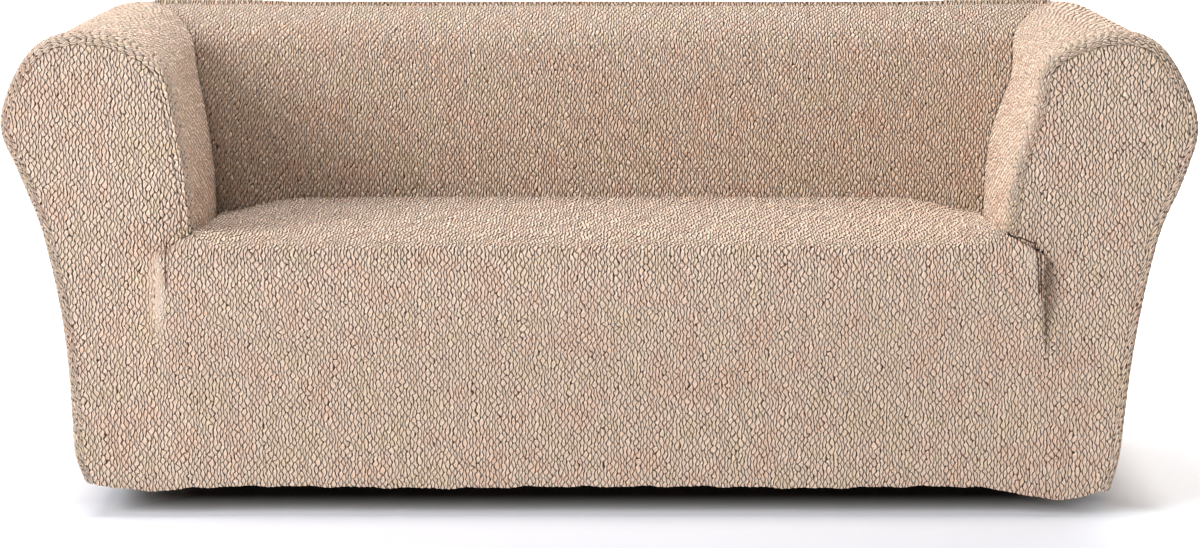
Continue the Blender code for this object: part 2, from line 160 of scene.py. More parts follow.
def placeIndex(place):
    names = [row[0] for row in arm["section"]]
    return sum(row[5] for row in arm["section"][: names.index(place)])


top, seatLevel, innerRoll, shoulder = (
    placeIndex(name) for name in ("top", "seat level", "inner roll", "shoulder")
)
meeting = shoulder + 1
last = len(armLine) - 1


def backrestDepth(height):
    return float(np.interp(height, backLine[: crest + 1, 1], backLine[: crest + 1, 0]))


def rearDepth(height):
    rear = backLine[crest:][::-1]
    return float(np.interp(height, rear[:, 1], rear[:, 0]))


def armOut(side, index, depth=0.0):
    out = armLine[index, 1 if side < 0 else 2]
    return float(out + armLine[index, 3] * min(max(depth, 0.0) / arm["splayDepth"], 1.0))


def rearSeamOut(side, index):
    turned = ease(armLine[index, 0], arm["rearTurnIn"], armLine[meeting, 0])
    beside = armOut(side, index) - arm["rearInset"]
    return float(beside * (1 - turned) + armOut(side, top) * turned)


lobe = {
    "out": 0.040,
    "outRight": 0.028,  # towards the right lobe
    "outBlend": (0.35, 0.65),
    "round": (0.028, 0.016),  # left, right
    "topRound": (0.022, 0.015),
    "fades": (0.170, 0.345),
    "corner": (0.6285, 0.3985),
    "tip": (0.686, 0.368),
    "hem": (0.697, 0.000),
    "heights": (0.335, 0.295, 0.255, 0.215, 0.175, 0.135, 0.095, 0.053, 0.014, 0.000),
    "climb": 0.585,
    "setback": 0.0045,
    "setbackFrom": 0.600,
}


def lobeTopHeight(out):
    share = (out - lobe["corner"][0]) / (lobe["tip"][0] - lobe["corner"][0])
    return lobe["corner"][1] + share * (lobe["tip"][1] - lobe["corner"][1])


def lobeSideOut(height):
    return lobe["hem"][0] + (lobe["tip"][0] - lobe["hem"][0]) * height / lobe["tip"][1]


# Sheets from a few rows of points

def lengthsAlong(grid, axis):
    run = np.linalg.norm(np.diff(grid, axis=axis), axis=2).mean(axis=1 - axis)
    return np.concatenate([[0], np.cumsum(run)])


def blendMatrix(at, targets):
    # weights of the known places for each target, by cubic pieces through uneven steps
    count = len(at)
    slope = np.zeros((count, count))
    step = np.diff(at)
    for i in range(1, count - 1):
        a, b = step[i - 1], step[i]
        slope[i, i - 1] = -b / a / (a + b)
        slope[i, i + 1] = a / b / (a + b)
        slope[i, i] = (b - a) / (a * b)
    slope[0, :2] = (-1 / step[0], 1 / step[0])
    slope[-1, -2:] = (-1 / step[-1], 1 / step[-1])
    i = np.clip(np.searchsorted(at, targets, side="right") - 1, 0, count - 2)
    t = ((targets - at[i]) / step[i])[:, None]
    known = np.eye(count)
    span = step[i][:, None]
    return (
        (2 * t**3 - 3 * t**2 + 1) * known[i]
        + (t**3 - 2 * t**2 + t) * span * slope[i]
        + (3 * t**2 - 2 * t**3) * known[i + 1]
        + (t**3 - t**2) * span * slope[i + 1]
    )


def refined(grid, step):
    grid = np.asarray(grid, float)
    for axis in (0, 1):
        at = lengthsAlong(grid, axis)
        targets = np.linspace(0, at[-1], max(2, round(at[-1] / step)) + 1)
        weights = blendMatrix(at, targets)
        grid = np.tensordot(weights, grid, (1, 0)) if axis == 0 else np.einsum("tj,ijk->itk", weights, grid)
    return grid


def gridNormals(grid):
    normals = np.cross(np.gradient(grid, axis=1), np.gradient(grid, axis=0))
    return normals / np.maximum(np.linalg.norm(normals, axis=2, keepdims=True), 1e-9)


def borderDistances(grid):
    # how far each point is from the first row, last row, first column and last column
    runs = []
    for axis in (0, 1):
        steps = np.linalg.norm(np.diff(grid, axis=axis), axis=2)
        start = np.zeros_like(np.take(steps, [0], axis))
        runs.append(np.concatenate([start, np.cumsum(steps, axis)], axis))
    down, across = runs
    return {"first": down, "last": down[-1:] - down, "left": across, "right": across[:, -1:] - across}


# What is uneven in the whole cover: dips and ripples of the hem, slow waves in the front that stand
# out from the arm fronts' plane, a lifted hem at the outer corners and a sagging crest.
uneven = {
    "hemDips": (  # out, depth, half width
        (-0.712, 0.008, 0.075),
        (0.722, 0.023, 0.085),
        (-0.25, 0.003, 0.14),
        (0.33, 0.003, 0.11),
    ),
    "hemRipple": 0.0016,
    "ripples": ((71.0, 0.0, 0.6), (133.0, 1.3, 0.4)),  # radians to a metre, start, share
    "rippleReach": 0.05,
    "waves": ((0.060, 0.37, 0.0030), (0.190, 0.61, 0.0022), (0.300, 0.47, 0.0018)),  # height, length, size
    "waveShift": 9,  # radians to a metre of height
    "waveSpread": 0.07,
    "waveDepth": 0.05,
    "cornerLift": 0.014,
    "cornerOut": (0.782, 0.815),
    "cornerDepth": (0.02, 0.16),
    "cornerHeight": (0.0, 0.05),
    "crestSag": 0.003,
    "sagOut": (0.52, 0.62),
    "sagHeight": (0.60, 0.69),
}


def settled(grid):
    # the grid with all that is uneven in the cover
    x, y, z = grid[..., 0], grid[..., 1].copy(), grid[..., 2].copy()
    height = grid[..., 2]
    nearHem = np.maximum(0.0, 1 - height / cover["hemReach"])
    for out, drop, half in uneven["hemDips"]:
        z -= drop * nearHem * hump(x, out, half)
    ripple = sum(share * np.sin(x * turns + start) for turns, start, share in uneven["ripples"])
    z -= uneven["hemRipple"] * ripple * np.maximum(0.0, 1 - height / uneven["rippleReach"])
    atCorner = ease(np.abs(x), *uneven["cornerOut"]) * (1 - ease(y, *uneven["cornerDepth"]))
    atCorner = atCorner * (1 - ease(height, *uneven["cornerHeight"]))
    z += uneven["cornerLift"] * atCorner
    z -= uneven["crestSag"] * (1 - ease(np.abs(x), *uneven["sagOut"])) * ease(height, *uneven["sagHeight"])
    inFront = 1 - ease(y, 0.0, uneven["waveDepth"])
    for level, length, size in uneven["waves"]:
        wave = np.sin(2 * math.pi * x / length + uneven["waveShift"] * level)
        y -= inFront * size * (1 + wave) * 0.5 * hump(z, level, uneven["waveSpread"])
    return np.stack([x, y, z], axis=2)


def patch(low, high, left, right):
    # a grid between four lines: low and high run from left to right, left and right run up
    low, high, left, right = (np.array(line, float) for line in (low, high, left, right))

    def shares(first, second):
        runs = [runAlong(line) for line in (first, second)]
        return (runs[0] / runs[0][-1] + runs[1] / runs[1][-1]) / 2

    u = shares(low, high)[None, :, None]
    v = shares(left, right)[:, None, None]
    ruled = (1 - v) * low[None] + v * high[None] + (1 - u) * left[:, None] + u * right[:, None]
    corners = (1 - u) * (1 - v) * low[0] + u * (1 - v) * low[-1]
    return ruled - corners - (1 - u) * v * high[0] - u * v * high[-1]


# The eight panels as rows of points on their outer faces

def rearCorner(side, index):
    # the last points of an arm's row, round the rear corner to the rear seam: out, depth
    out = armOut(side, index)
    depth = rearDepth(armLine[index, 0])
    end = rearSeamOut(side, index) + cover["seamGap"] / 2
    radius = min(arm["rearRadius"], arm["rearRoom"] * (out - end))
    turn = [(out - radius + radius * math.cos(a), depth - radius + radius * math.sin(a))
            for a in np.linspace(0, math.pi / 2, arm["turnPoints"])]
    path = np.array([(out, depth - arm["rearZone"]), *turn, (end, depth)])
    run = runAlong(path)
    body = run[-1] - min(arm["strip"], arm["stripRoom"] * run[-1])
    at = [body * share for share in arm["rearShares"]] + [run[-1]]
    return [(float(np.interp(a, run, path[:, 0])), float(np.interp(a, run, path[:, 1]))) for a in at]


def armRow(side, index):
    # one row along an arm, from its front edge to the backrest or round the rear corner
    height, out = float(armLine[index, 0]), armOut(side, index)
    before, after = max(index - 1, 0), min(index + 1, last)
    run = np.array([armOut(side, after) - armOut(side, before), armLine[after, 0] - armLine[before, 0]])
    run /= np.linalg.norm(run)
    inward = (1.0, 0.0) if index <= seatLevel else (run[1], -run[0])
    row = [(out + inset * inward[0], depth, height + inset * inward[1]) for inset, depth in arm["edge"]]
    start = arm["edge"][-1][1]
    inner = index <= top
    if inner:
        depth = backrestDepth(height) - cover["seamGap"]
        stop = depth - arm["rearZone"]
        places = [stop + (arm["rearZone"] - arm["strip"]) * share for share in arm["innerShares"]]
        tail = [(armOut(side, index, y), y) for y in [*places, depth]]
    else:
        tail = rearCorner(side, index)
        stop = tail[0][1]
    for step in range(1, arm["steps"]):
        depth = start + (stop - start) * step / arm["steps"]
        row.append((armOut(side, index, depth) if inner else out, depth, height))
    row += [(x, y, height) for x, y in tail]
    if index < seatLevel:
        row = [raisedTuck(point, index) for point in row]
    return row


def raisedTuck(point, index):
    # a point below the seat's level, lifted so that the tuck ends on the lobe at the front
    x, y, z = point
    front = lobeTopHeight(max(x, lobe["corner"][0])) + arm["tuckGap"]
    low = front + (seat["creviceHeight"] - front) * float(ease(y, arm["edge"][-1][1], arm["tuckRun"]))
    high = armLine[seatLevel, 0]
    return x, y, high + (low - high) * (high - armLine[index, 0]) / (high - seat["creviceHeight"])


def armRows(side):
    return [armRow(side, index)[::-1] for index in range(last + 1)]


def lobeSide():
    # the line round the right lobe: from its inner corner over the tip down to the hem
    edge = armOut(1, seatLevel) + arm["edge"][0][0]
    outs = (lobe["corner"][0], edge, (edge + lobe["tip"][0]) / 2)
    line = [(out, lobeTopHeight(out)) for out in outs] + [lobe["tip"]]
    return line + [(lobeSideOut(height), height) for height in lobe["heights"]]


def hemTuck(height):
    return cover["hemCurl"] * max(0.0, 1 - height / cover["hemRound"]) ** 2


def armFrontRows(side):
    edge = [armRow(side, index)[0] for index in range(last + 1)]
    centre = np.array([np.mean([p[0] for p in edge]), np.mean([p[2] for p in edge])])

    def inset(index):
        # a point of the arm's front edge, moved in by half the seam's gap
        point = np.array([edge[index][0], edge[index][2]])
        before, after = edge[max(index - 1, 0)], edge[min(index + 1, last)]
        run = np.array([after[0] - before[0], after[2] - before[2]])
        square = np.array([run[1], -run[0]]) / np.linalg.norm(run)
        if index > last - 2 and square @ (centre - point) < 0:
            square = -square
        return point + cover["seamGap"] * 0.5 * square

    outer = [inset(index) for index in range(last, shoulder - 1, -1)]
    upper = [inset(index) for index in range(shoulder, innerRoll - 1, -1)]
    inner = [inset(index) for index in range(innerRoll, -1, -1)]
    below = lobeSide()
    inner[-1] = (inner[-1][0], below[1][1])
    inner = (inner + [np.array(point) for point in below[2:]])[::-1]
    hem = [np.array(inner[0]) + (outer[0] - inner[0]) * t for t in np.linspace(0, 1, len(upper))]
    flat = patch(hem, upper[::-1], inner, outer)
    rows = []
    for i, row in enumerate(flat):
        rise = math.sin(math.pi * i / (len(flat) - 1)) * arm["frontCrown"]
        rows.append([(x, hemTuck(z) - rise * math.sin(math.pi * j / (len(row) - 1)), z)
                     for j, (x, z) in enumerate(row)])
    return rows


seat = {
    "height": 0.385,
    "crown": 0.007,
    "crownWave": (0.25, 0.6),  # part of a half wave from front to rear: start, length
    "crownHalf": 0.66,
    "crownStart": (-0.02, 0.08),
    "sideFront": 0.4065,
    "sideRear": 0.364,
    "sideBlend": (0.520, 0.632),
    "rear": 0.52,
    "edgeRadius": 0.020,
    "edgeBlend": 0.09,  # from the edge to where the top has its own height
    "turn": ((0.0, None), (0.0, 0.019), (0.0035, 0.009), (0.011, 0.002), (0.0245, 0.0)),  # inset, drop
    "frontSteps": (0.0, 0.005, 0.012, 0.022),
    "columnSteps": (0.0, 0.0035, 0.011, 0.0245, 0.044),  # from either side
    "columnsWithin": 0.555,
    "columns": 19,
    "depthShares": (0.1, 1.0, 9),  # first, last, count
    "rearGap": 0.0006,
    "tuckBelow": 0.009,
    "tuckStart": 0.06,
    "creviceHeight": 0.312,
}
halfRound = math.sqrt(0.5)  # the seam runs half way round the seat's edge


def bulge(out, height):
    # how far the seat front stands ahead of the arm fronts
    side, out = int(out > 0), abs(out)
    beside = lobeSideOut(min(height, lobe["tip"][1])) - out
    slope = np.array([lobe["tip"][0] - lobe["corner"][0], lobe["tip"][1] - lobe["corner"][1]])
    slope /= np.linalg.norm(slope)
    below = (out - lobe["tip"][0]) * slope[1] - (height - lobe["tip"][1]) * slope[0]
    near = min(beside / lobe["round"][side], below / lobe["topRound"][side], 1.0)
    turned = math.sqrt(max(0.0, 1 - (1 - max(near, 0.0)) ** 2))
    toRight = float(ease(out * (2 * side - 1), *lobe["outBlend"]))
    most = lobe["out"] + (lobe["outRight"] - lobe["out"]) * toRight
    swell = most * float(ease(height, *lobe["fades"]))
    radius = seat["edgeRadius"]
    past = min(max(0.0, height - (seatSeamHeight(out) - radius * halfRound)), radius)
    return turned * max(swell - radius + math.sqrt(radius**2 - past**2), 0.0)


def seatSeamHeight(out):
    level = seat["height"] - seat["edgeRadius"] * (1 - halfRound)
    climb = float(ease(abs(out), lobe["climb"], lobe["corner"][0]))
    return level + (lobe["corner"][1] - level) * climb


def seatColumns():
    ends = [-lobe["corner"][0] + step for step in seat["columnSteps"]]
    middle = np.linspace(-seat["columnsWithin"], seat["columnsWithin"], seat["columns"])
    return ends + list(middle) + [-x for x in ends[::-1]]


def frontRows():
    right = [np.array(point) for point in lobeSide()[::-1]]
    left = [np.array((-x, z)) for x, z in right]
    columns = seatColumns()
    upper = [np.array((x, seatSeamHeight(x))) for x in columns]
    upper[0], upper[-1] = left[-1], right[-1]
    hem = [left[0] + (right[0] - left[0]) * (x - columns[0]) / (columns[-1] - columns[0]) for x in columns]
    flat = patch(hem, upper, left, right)
    return [[(x, hemTuck(z) - bulge(x, z), z) for x, z in row] for row in flat]


def seatTop(x, y):
    # height of the seat's crowned top
    along = min(max(y / seat["rear"], 0.0), 1.0)
    start, length = seat["crownWave"]
    crown = seat["crown"] * math.sin(math.pi * (start + length * along))
    crown = crown * (1 - (x / seat["crownHalf"]) ** 2)
    height = seat["height"] + crown * float(ease(y, *seat["crownStart"]))
    beside = seat["sideFront"] + (seat["sideRear"] - seat["sideFront"]) * along
    return height + (beside - height) * float(ease(abs(x), *seat["sideBlend"]))


def seatPoint(sign, out, inset, drop, y, front, rearDrop):
    # a point of the seat: on its top, on its front edge or on the sides turned into the crevices
    side = lobe["corner"][0] + armOut(sign, seatLevel, y) - armOut(sign, seatLevel)
    if inset is None:
        out *= side / lobe["corner"][0]
    elif y > 0:
        out = side - inset
    ahead, radius = y - front, seat["edgeRadius"]
    reach = radius * halfRound
    tucked = float(ease(y, 0.0, arm["tuckRun"]))
    z = seatSeamHeight(min(out, lobe["corner"][0]))
    z += math.sqrt(radius**2 - max(reach - ahead, 0.0) ** 2) - reach
    z += (seatTop(out, y) - z) * float(ease(ahead, reach, seat["edgeBlend"]))
    if drop is None or rearDrop is None:
        low = lobe["corner"][1] - seat["tuckBelow"]
        z = low + (seat["creviceHeight"] - low) * tucked
        if drop is None:
            out += (armOut(sign, 0, y) - cover["seamGap"] - out) * tucked
    else:
        z -= max(drop * float(ease(y, 0.0, seat["tuckStart"])), rearDrop)
    return sign * out, y, z


def seatRows():
    turned = [(lobe["corner"][0] - inset, inset, drop) for inset, drop in seat["turn"]]
    ends = len(seat["columnSteps"]) - 1
    across = [(-1, *place) for place in turned]
    across += [(-1 if x < 0 else 1, abs(x), None, 0.0) for x in seatColumns()[ends:-ends]]
    across += [(1, *place) for place in turned[::-1]]
    rear = backrestDepth(seat["creviceHeight"]) - cover["seamGap"]
    flatEnd = rear - seat["turn"][-1][0]
    along = [(step, None, None, 0.0) for step in seat["frontSteps"]]
    along += [(None, share, None, 0.0) for share in np.linspace(*seat["depthShares"])]
    along += [(None, None, inset + seat["rearGap"], drop) for inset, drop in seat["turn"][-2:0:-1]]
    along += [(None, None, 0.0, None)]
    rows = []
    for step, share, rearInset, rearDrop in along:
        row = []
        for sign, out, inset, drop in across:
            front = -bulge(sign * out, seatSeamHeight(out))
            front += lobe["setback"] * float(ease(out, lobe["setbackFrom"], lobe["corner"][0]))
            if step is not None:
                y = front + step
            elif share is not None:
                y = front + (flatEnd - front) * share
            else:
                y = rear - rearInset
            row.append(seatPoint(sign, out, inset, drop, y, front, rearDrop))
        rows.append(row)
    return rows


def insideBackRows():
    middle = np.linspace(0, 1, back["columns"] + 1)[1:-1]
    start, whole, lessens, end = back["bellyHeights"]
    rows = []
    for index in range(meeting + 1):
        height = float(armLine[index, 0])
        inFront = index <= top
        depth = backrestDepth(height) if inFront else rearDepth(height)
        left, right = (
            armOut(sign, min(index, top), depth if inFront else 0.0) - cover["seamGap"] / 2
            for sign in (-1, 1)
        )
        xs = [-left, -left + arm["strip"]]
        xs += [-left + (left + right) * share for share in middle]
        xs += [right - arm["strip"], right]
        belly = back["belly"] * float(ease(height, start, whole) * (1 - ease(height, lessens, end)))
        belly = belly if inFront else 0.0
        rows.append([(x, depth - belly * math.cos(math.pi * x / (left + right)), height) for x in xs])
    return rows


def outsideBackRows():
    rows = []
    for index in range(last, meeting - 1, -1):
        height = float(armLine[index, 0])
        left, right = (rearSeamOut(sign, index) - cover["seamGap"] / 2 for sign in (-1, 1))
        xs = [-left + (left + right) * share for share in np.linspace(0, 1, back["rearColumns"])]
        depth = rearDepth(height)
        rows.append([(x, depth, height) for x in xs[::-1]])
    return rows


# Nodes, the knit and its relief

def linear(hexColour):
    parts = [int(hexColour[i : i + 2], 16) / 255 for i in (1, 3, 5)]
    return (*[p / 12.92 if p <= 0.04045 else ((p + 0.055) / 1.055) ** 2.4 for p in parts], 1.0)


def addNode(tree, kind, inputs=None, **settings):
    # a node with its own settings; each input is given a value or linked to another node's output.
    # A Mix node's colours are its inputs 6 and 7 and its output 2, a Map Range's limits 1 to 4.
    node = tree.nodes.new(kind)
    for name, value in settings.items():
        setattr(node, name, value)
    for key, value in (inputs or {}).items():
        if isinstance(value, bpy.types.Node):
            value = value.outputs[0]
        if isinstance(value, bpy.types.NodeSocket):
            tree.links.new(value, node.inputs[key])
        else:
            node.inputs[key].default_value = value
    return node


knit = {
    "puffWidth": 0.0102,  # two wales, one of puffs that are widest where the other's are narrowest
    "puffLength": 0.0130,
    "stack": 0.56,  # how nearly the puffs of a wale close off from each other
    "warp": 0.0120,  # how far the wales wander, against a noise of about 24 mm
    "warpSize": 0.024,
    "jitter": 0.0034,  # how uneven single puffs are, against a noise of about 6 mm
    "jitterSize": 0.0060,
    "merge": 0.30,  # how unequal neighbouring puffs are
    "round": 1.0,  # power of a puff's profile, low is flat-topped
    "flank": 0.8,  # share of a puff's height at which its steep side ends
    "steep": 0.6,  # how much of the profile is that steep side
    "relief": 0.0009,  # raised in the mesh, from crevice to crown
    "mean": 0.62,  # height of the puffs that stays on the panel's own face
    "bump": 0.0085,  # raised in the finish, where it is drawn higher so that it shows
    "rib": 0.0012,  # the jersey's own ribs, drawn at 1.2 mm so that they show close up
    "ribBump": 0.00010,
    "slack": 0.0022,  # slow unevenness of the whole sheet
    "slackSize": 0.16,
    "level": 0.75,  # height that the puffs keep where the cloth is pulled tight
    "pulledShare": 0.22,  # how much they still rise and fall about it
    "light": "#dead8c",
    "side": "#fce5cd",  # painted highlight: the paler colour of the puffs' sides and crowns, where the lamps light them
    "paintedHighlightHeights": (0.25, 0.60, 1.0),  # heights of those sides and how strong the painted highlight is there
    # share of the painted highlight left on the crowns
    "paintedHighlightCrown": 0.5,
    "paintedLightShift": (0.0016, -0.0007, 0.0),  # how far the colour is shifted from the puffs' shape, so that the painted shade falls on the puffs' shaded flanks and the painted highlight on their lit flanks
    # painted shade: the dark brown put in the puffs' crevices and along the creases
    "paintedShadeColour": "#54301b",
    "sunk": (0.02, 0.42),  # heights between which the painted shade in the crevices ends
    "stretched": "#c6b3a2",
    "stretchedMuch": 0.75,
    "creaseShadeLines": (  # thin lines of painted shade along folds of the front cloth: from, to (out, height), half width
        (-0.6685, 0.383, -0.6655, 0.326, 0.0011),
        (0.6350, 0.3975, 0.6690, 0.3840, 0.0013),
        (0.6710, 0.383, 0.6765, 0.312, 0.0014),
        (0.6770, 0.372, 0.6805, 0.300, 0.0010),
    ),
    "creaseShadeEnds": (0.5, 0.62),  # shares of the length between which a painted crease line fades
    "creaseShadeSides": (0.5, 1.3),  # and of the half width
    "rose": "#fff7f3",  # washes over the whole, uneven from the dyeing
    "roseFrom": (0.48, 0.64, 0.0, 1.0),  # from, to in the tint's noise, and how strong there
    "straw": "#fbfbf1",
    "strawFrom": (0.34, 0.50, 0.8, 0.0),
    "tintSize": 0.050,
    "roughness": 0.93,
    "sheen": 0.12,
    "specular": 0.25,
}


def puffField(tree, place, width, length):
    # the height of the puffs, 0 in the crevices and about 1 on the crowns, at a place on the cloth
    add = partial(addNode, tree)
    moved = place
    for grain, detail, far in (("warpSize", 1.0, "warp"), ("jitterSize", 0.0, "jitter")):
        noise = add("ShaderNodeTexNoise", {"Vector": place, "Scale": 1 / knit[grain], "Detail": detail})
        away = add("ShaderNodeVectorMath", {0: noise.outputs["Color"], 1: (0.5, 0.5, 0.5)},
                   operation="SUBTRACT")
        away = add("ShaderNodeVectorMath", {0: away, "Scale": knit[far]}, operation="SCALE")
        moved = add("ShaderNodeVectorMath", {0: moved, 1: away}, operation="ADD")
    parts = add("ShaderNodeSeparateXYZ", {0: moved})
    waves = []
    for axis, size in ((0, width), (1, length)):
        turns = add("ShaderNodeMath", {0: parts.outputs[axis], 1: size}, operation="DIVIDE")
        angle = add("ShaderNodeMath", {0: turns, 1: 2 * math.pi}, operation="MULTIPLY")
        waves.append(add("ShaderNodeMath", {0: angle}, operation="COSINE"))
    both = add("ShaderNodeMath", {0: waves[1], 1: knit["stack"], 2: waves[0]}, operation="MULTIPLY_ADD")
    unequal = add("ShaderNodeMath", {0: noise, 1: 0.5}, operation="SUBTRACT")
    unequal = add("ShaderNodeMath", {0: unequal, 1: 2 * knit["merge"], 2: both}, operation="MULTIPLY_ADD")
    size = add("ShaderNodeMath", {0: unequal}, operation="ABSOLUTE")
    whole = add("ShaderNodeMath", {0: size, 1: 1 + knit["stack"]}, operation="DIVIDE", use_clamp=True)
    crown = add("ShaderNodeMath", {0: whole, 1: knit["round"]}, operation="POWER")
    flank = add("ShaderNodeMapRange", {0: whole, 1: 0.0, 2: knit["flank"], 3: 0.0, 4: knit["steep"]},
                interpolation_type="SMOOTHSTEP")
    return add("ShaderNodeMath", {0: crown, 1: 1 - knit["steep"], 2: flank}, operation="MULTIPLY_ADD")


def creaseShadeMask(tree, place, fromS, fromT, toS, toT, half):
    # a thin line of painted shade on the cloth, fading at both ends
    add = partial(addNode, tree)
    length = math.hypot(toS - fromS, toT - fromT)
    run = ((toS - fromS) / length, (toT - fromT) / length, 0.0)
    square = (run[1], -run[0], 0.0)
    moved = add("ShaderNodeVectorMath", {0: place, 1: (fromS, fromT, 0.0)}, operation="SUBTRACT")
    masks = []
    for way, middle, size, (start, end) in (
        (run, length / 2, length, knit["creaseShadeEnds"]),
        (square, 0.0, half, knit["creaseShadeSides"]),
    ):
        far = add("ShaderNodeVectorMath", {0: moved, 1: way}, operation="DOT_PRODUCT")
        far = add("ShaderNodeMath", {0: far.outputs["Value"], 1: middle}, operation="SUBTRACT")
        far = add("ShaderNodeMath", {0: far}, operation="ABSOLUTE")
        masks.append(add("ShaderNodeMapRange", {0: far, 1: start * size, 2: end * size, 3: 1.0, 4: 0.0},
                         interpolation_type="SMOOTHSTEP"))
    return add("ShaderNodeMath", {0: masks[0], 1: masks[1]}, operation="MULTIPLY")


def bubbleJersey():
    # Polyester and elastane jersey, knitted with puffs and steamed. Matte: each puff is lit on one side and
    # dark on the other
    # by the lamps and by painted light: paler sides and crowns as painted highlight, dark brown crevices
    # and creases as painted shade.
    material = bpy.data.materials.new("bubble_jersey_knitted")
    material.use_nodes = True
    material.cycles.use_bump_map_correction = False
    tree = material.node_tree
    add = partial(addNode, tree)
    shader = tree.nodes["Principled BSDF"]
    place = add("ShaderNodeUVMap", uv_map="cloth")
    tight = add("ShaderNodeAttribute", attribute_name="tight").outputs["Fac"]
    spot = add("ShaderNodeTexCoord").outputs["Object"]
    # the colour is read from the puffs at a shifted place, which puts the painted highlight and painted
    # shade on the lit and shaded flanks
    paintedLightPlace = add("ShaderNodeVectorMath", {0: place, 1: knit["paintedLightShift"]}, operation="ADD")
    rise = add("ShaderNodeMapRange", {0: tight, 3: 1.0, 4: knit["pulledShare"]})
    heights = []
    for where in (place, paintedLightPlace):
        puffs = puffField(tree, where, knit["puffWidth"], knit["puffLength"])
        above = add("ShaderNodeMath", {0: puffs, 1: knit["level"]}, operation="SUBTRACT")
        height = add("ShaderNodeMath", {0: above, 1: rise, 2: knit["level"]}, operation="MULTIPLY_ADD")
        heights.append(height)
    shape, puffs = heights

    # colour from the puffs' heights: light base, paler sides and crowns as painted highlight, painted shade
    # in the crevices and along the creases, pulled patches
    low, high, much = knit["paintedHighlightHeights"]
    ranges = ((0.0, low, 0.0, much), (high, 1.0, 1.0, knit["paintedHighlightCrown"]), (*knit["sunk"], 1.0, 0.0))
    rising, falling, sunk = (
        add("ShaderNodeMapRange", {0: puffs, 1: start, 2: end, 3: first, 4: second},
            interpolation_type="SMOOTHSTEP")
        for start, end, first, second in ranges
    )
    paintedHighlight = add("ShaderNodeMath", {0: rising, 1: falling}, operation="MULTIPLY")
    pulled = add("ShaderNodeMath", {0: tight, 1: knit["stretchedMuch"]}, operation="MULTIPLY")
    layers = [(paintedHighlight, "side"), (sunk, "paintedShadeColour")]
    layers += [(creaseShadeMask(tree, place, *crease), "paintedShadeColour") for crease in knit["creaseShadeLines"]]
    layers += [(pulled, "stretched")]
    colour = linear(knit["light"])
    for mask, tone in layers:
        colour = add("ShaderNodeMix", {0: mask, 6: colour, 7: linear(knit[tone])},
                     data_type="RGBA").outputs[2]

    # near-white washes multiplied over it
    tint = add("ShaderNodeTexNoise", {"Vector": spot, "Scale": 1 / knit["tintSize"], "Detail": 2.0})
    wash = (1, 1, 1, 1)
    for tone in ("rose", "straw"):
        start, end, first, second = knit[tone + "From"]
        mask = add("ShaderNodeMapRange", {0: tint, 1: start, 2: end, 3: first, 4: second})
        wash = add("ShaderNodeMix", {0: mask, 6: wash, 7: linear(knit[tone])},
                   data_type="RGBA").outputs[2]
    colour = add("ShaderNodeMix", {0: 1.0, 6: colour, 7: wash}, data_type="RGBA", blend_type="MULTIPLY")
    ribs = add("ShaderNodeTexNoise", {"Vector": place, "Scale": 1 / knit["rib"], "Detail": 1.0})
    raised = add("ShaderNodeBump", {"Height": ribs, "Distance": knit["ribBump"]})
    raised = add("ShaderNodeBump", {"Height": shape, "Distance": knit["bump"], "Normal": raised})
    tree.links.new(colour.outputs[2], shader.inputs["Base Color"])
    tree.links.new(raised.outputs[0], shader.inputs["Normal"])
    shader.inputs["Roughness"].default_value = knit["roughness"]
    shader.inputs["Sheen Weight"].default_value = knit["sheen"]
    shader.inputs["Specular IOR Level"].default_value = knit["specular"]
    return material


def reliefTree(material):
    # Geometry Nodes: lifts the outer face along its normals by the puffs and by slow slackness
    tree = bpy.data.node_groups.new("bubbleRelief", "GeometryNodeTree")
    add = partial(addNode, tree)
    face = tree.interface
    face.new_socket("Geometry", in_out="INPUT", socket_type="NodeSocketGeometry")
    for name, value in (("Puff width", knit["puffWidth"]), ("Puff length", knit["puffLength"]),
                        ("Relief", knit["relief"]), ("Slack", knit["slack"]), ("Seed", 3.0)):
        socket = face.new_socket(name, in_out="INPUT", socket_type="NodeSocketFloat")
        socket.default_value = value
    face.new_socket("Geometry", in_out="OUTPUT", socket_type="NodeSocketGeometry")
    given = tree.nodes.new("NodeGroupInput").outputs
    place = add("GeometryNodeInputNamedAttribute", {"Name": "cloth"}, data_type="FLOAT_VECTOR")
    share = add("GeometryNodeInputNamedAttribute", {"Name": "puffShare"}, data_type="FLOAT")
    puffs = puffField(tree, place, given["Puff width"], given["Puff length"])
    raised = add("ShaderNodeMath", {0: puffs, 1: knit["mean"]}, operation="SUBTRACT")
    raised = add("ShaderNodeMath", {0: raised, 1: given["Relief"]}, operation="MULTIPLY")
    spot = add("GeometryNodeInputPosition")
    slow = add("ShaderNodeTexNoise", {"Vector": spot, "W": given["Seed"], "Detail": 1.0,
               "Scale": 1 / knit["slackSize"]}, noise_dimensions="4D")
    slow = add("ShaderNodeMath", {0: slow, 1: 0.5}, operation="SUBTRACT")
    height = add("ShaderNodeMath", {0: slow, 1: given["Slack"], 2: raised}, operation="MULTIPLY_ADD")
    height = add("ShaderNodeMath", {0: height, 1: share}, operation="MULTIPLY")
    normal = add("GeometryNodeInputNormal")
    offset = add("ShaderNodeVectorMath", {0: normal, "Scale": height}, operation="SCALE")
    moved = add("GeometryNodeSetPosition", {"Geometry": given["Geometry"], "Offset": offset})
    whole = add("GeometryNodeRealizeInstances", {0: moved})
    dressed = add("GeometryNodeSetMaterial", {"Geometry": whole, "Material": material})
    add("NodeGroupOutput", {0: dressed})
    return tree


# From rows of points to a closed sheet

